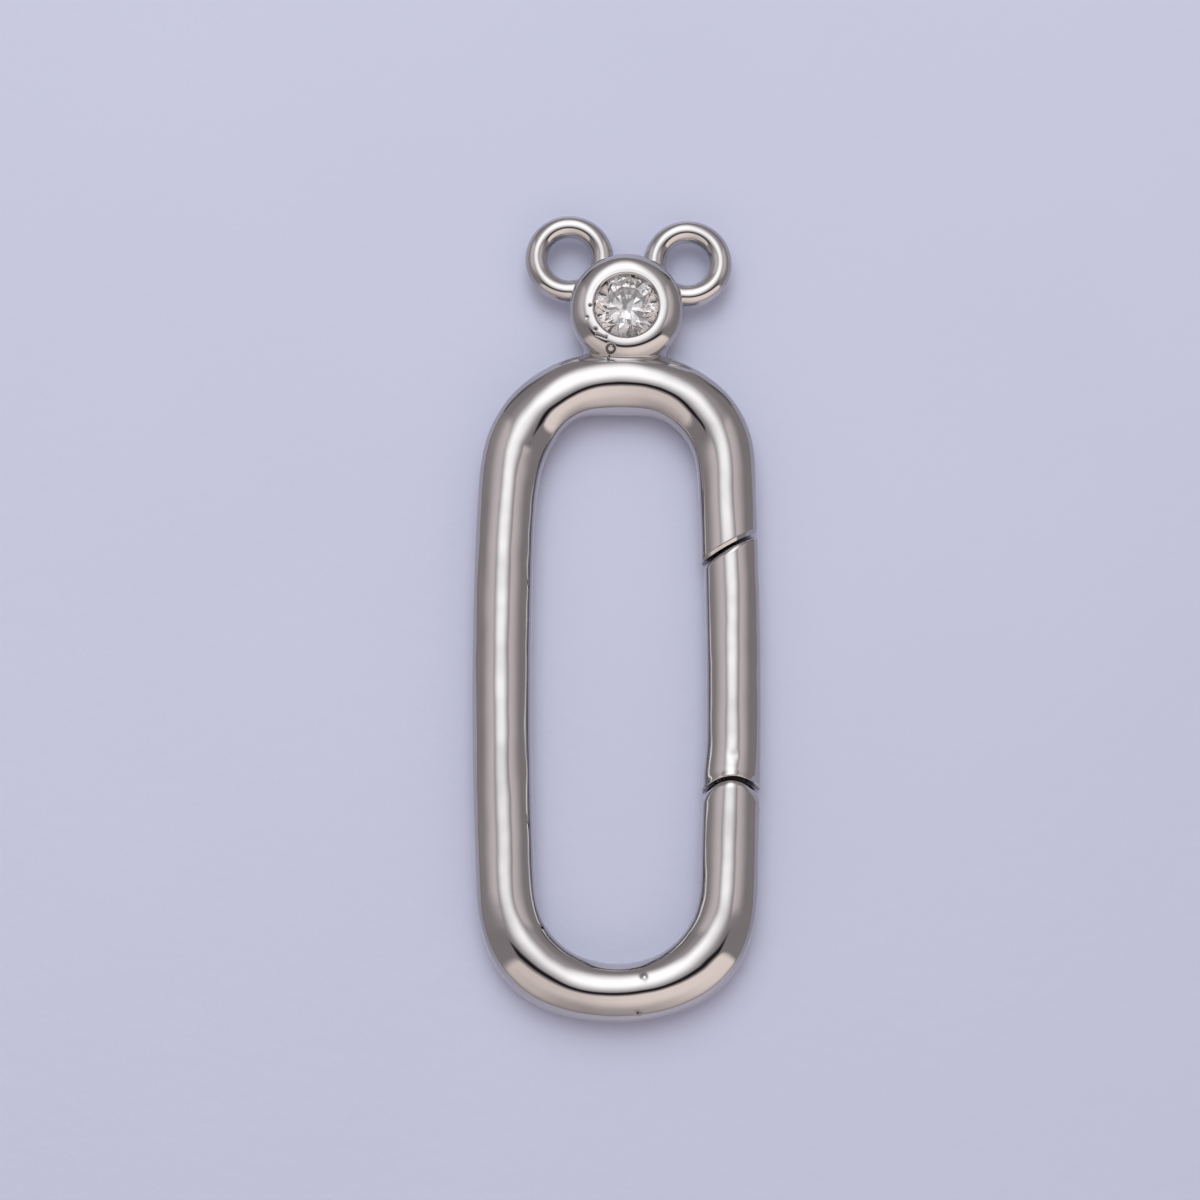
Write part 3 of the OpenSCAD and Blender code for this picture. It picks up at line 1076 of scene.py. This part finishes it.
def clear_stone():
    """A colourless cut stone, with a faint wiped haze on its facets."""
    material, tree, shader = new_material("clear_stone")
    shader.inputs["IOR"].default_value = 2.17
    shader.inputs["Transmission Weight"].default_value = 0.94
    tint = two_tone(tree, spread(tree, noise(tree, scale=900, detail=2), 0, 1), *STONE_TONES)
    haze = spread(tree, noise(tree, scale=2500, detail=3), low=0.012, high=0.035, start=0.45, end=0.75)
    tree.links.new(tint, shader.inputs["Base Color"])
    tree.links.new(haze, shader.inputs["Roughness"])
    return material


def paper():
    """The pale lavender paper that the clasp lies on, faintly mottled, with a pearly sheen."""
    material, tree, shader = new_material("lavender_paper")
    tint = two_tone(tree, spread(tree, noise(tree, scale=60, detail=4), 0, 1), *PAPER_TONES)
    shader.inputs["Metallic"].default_value = 0.84
    shader.inputs["Roughness"].default_value = 0.54
    fibres = bump(tree, noise(tree, scale=1400, detail=4, roughness=0.65), distance=1.2e-5)
    tree.links.new(tint, shader.inputs["Base Color"])
    tree.links.new(fibres, shader.inputs["Normal"])
    return material


# The studio

def soft_edge(tree, value, start, end):
    """Rises smoothly from 0 at start to 1 at end, or falls if start is the larger."""
    edge = tree.nodes.new("ShaderNodeMapRange")
    edge.interpolation_type = "SMOOTHSTEP"
    edge.inputs["From Min"].default_value = start
    edge.inputs["From Max"].default_value = end
    tree.links.new(value, edge.inputs["Value"])
    return edge.outputs["Result"]


def times(tree, first, second):
    """The product of two values."""
    product = tree.nodes.new("ShaderNodeMath")
    product.operation = "MULTIPLY"
    tree.links.new(first, product.inputs[0])
    tree.links.new(second, product.inputs[1])
    return product.outputs[0]


def tilt(tree, sideways, ahead):
    """The angle of a direction from one axis towards another, in degrees."""
    turn = tree.nodes.new("ShaderNodeMath")
    turn.operation = "ARCTAN2"
    tree.links.new(sideways, turn.inputs[0])
    tree.links.new(ahead, turn.inputs[1])
    degrees = tree.nodes.new("ShaderNodeMath")
    degrees.operation = "DEGREES"
    tree.links.new(turn.outputs[0], degrees.inputs[0])
    return degrees.outputs[0]


# Each soft panel of the studio: light, then its edges in degrees. "across" and "along" are tilts from
# straight up, to the right and to the back; "round" goes about the upright axis, from the front. The four
# numbers of a pair of edges are where the panel starts, is full, is full still, and ends. A later panel
# lies over the ones before it: a glow, two side walls, two dark corners, the bright strip, the warm card
# in front and its brighter right part, and the dark band between card and strip.
ROOM = (0.27, 0.246, 0.257)
PANELS = (
    ((0.46, 0.425, 0.44), ("across", -80, -20, 20, 80), ("along", 10, 35, 45, 86)),
    ((0.70, 0.635, 0.65), ("across", -90, -41, -38, -27), ("round", -133, -125, -98, -76)),
    ((0.69, 0.62, 0.63), ("across", 23, 31, 33, 78), ("round", 76, 98, 125, 133)),
    ((0.05, 0.045, 0.05), ("across", -180, -170, -90, -80), ("round", -160, -142, -134, -130)),
    ((0.05, 0.045, 0.05), ("across", 80, 90, 170, 180), ("round", 130, 134, 142, 160)),
    ((1.60, 1.59, 1.63), ("across", -38, -9, 0, 31), ("along", -17, 23, 37, 79)),
    ((0.84, 0.735, 0.70), ("round", -64, -57, 60, 66), ("along", -94, -43, -29, -22)),
    ((1.03, 0.90, 0.855), ("round", -30, 20, 60, 66), ("along", -94, -43, -30, -22)),
    ((0.02, 0.015, 0.018), ("across", -40, -34, 34, 40), ("along", -22, -18, -13, -8)),
)


def studio():
    """A dim room lit by soft panels, painted one over the other by the direction of view."""
    world = bpy.data.worlds.new("studio")
    bpy.context.scene.world = world
    world.use_nodes = True
    tree = world.node_tree
    tree.nodes.clear()
    place = tree.nodes.new("ShaderNodeTexCoord")
    parts = tree.nodes.new("ShaderNodeSeparateXYZ")
    tree.links.new(place.outputs["Generated"], parts.inputs[0])
    front = tree.nodes.new("ShaderNodeMath")
    front.operation = "MULTIPLY"
    front.inputs[1].default_value = -1
    tree.links.new(parts.outputs["Y"], front.inputs[0])
    angles = {
        "across": tilt(tree, parts.outputs["X"], parts.outputs["Z"]),
        "along": tilt(tree, parts.outputs["Y"], parts.outputs["Z"]),
        "round": tilt(tree, parts.outputs["X"], front.outputs[0]),
    }
    light = None
    for colour, *sides in PANELS:
        share = None
        for angle, start, full, still_full, end in sides:
            for low, high in ((start, full), (end, still_full)):
                edge = soft_edge(tree, angles[angle], low, high)
                share = edge if share is None else times(tree, share, edge)
        layer = tree.nodes.new("ShaderNodeMix")
        layer.data_type = "RGBA"
        layer.inputs["B"].default_value = (*colour, 1)
        tree.links.new(share, layer.inputs["Factor"])
        if light is None:
            layer.inputs["A"].default_value = (*ROOM, 1)
        else:
            tree.links.new(light, layer.inputs["A"])
        light = layer.outputs["Result"]
    background = tree.nodes.new("ShaderNodeBackground")
    output = tree.nodes.new("ShaderNodeOutputWorld")
    tree.links.new(light, background.inputs["Color"])
    tree.links.new(background.outputs[0], output.inputs["Surface"])


def floor():
    """The sheet of paper under the clasp."""
    half = 900
    drop = 0.01
    corners = [(-half, -half, -drop), (half, -half, -drop), (half, half, -drop), (-half, half, -drop)]
    sheet = mesh_object("floor", np.array(corners) * MM, [(0, 1, 2, 3)])
    sheet.data.materials.append(paper())


def camera():
    """The photograph's view: nearly straight down, from a little below the clasp's foot."""
    aim = Vector((-0.714, 0.618, 1.2)) * MM
    eye = Vector((-0.714, -47.1, 262.4)) * MM
    lens = bpy.data.cameras.new("camera")
    lens.sensor_width = 36
    lens.lens = 189.6
    lens.clip_start = 0.001
    lens.clip_end = 10
    viewer = bpy.data.objects.new("camera", lens)
    bpy.context.scene.collection.objects.link(viewer)
    viewer.location = eye
    viewer.rotation_mode = "QUATERNION"
    viewer.rotation_quaternion = (aim - eye).to_track_quat("-Z", "Y")
    bpy.context.scene.camera = viewer


def fit(piece, node, body, material):
    """Puts a finished piece in its CAD node's place, with its material."""
    piece.data.materials.clear()
    piece.data.materials.append(material)
    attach(piece, body)
    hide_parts(node)


camera()
studio()
floor()

metal = polished_metal()
fit(frame_piece(), "frame", "frame_body", metal)
fit(gate_piece(), "gate", "gate_body", metal)
fit(stone_piece(), "stone", "frame_body", clear_stone())
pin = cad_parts["hinge_pin"]
pin.data.materials.clear()
pin.data.materials.append(metal)

bpy.context.scene.view_settings.view_transform = "Standard"
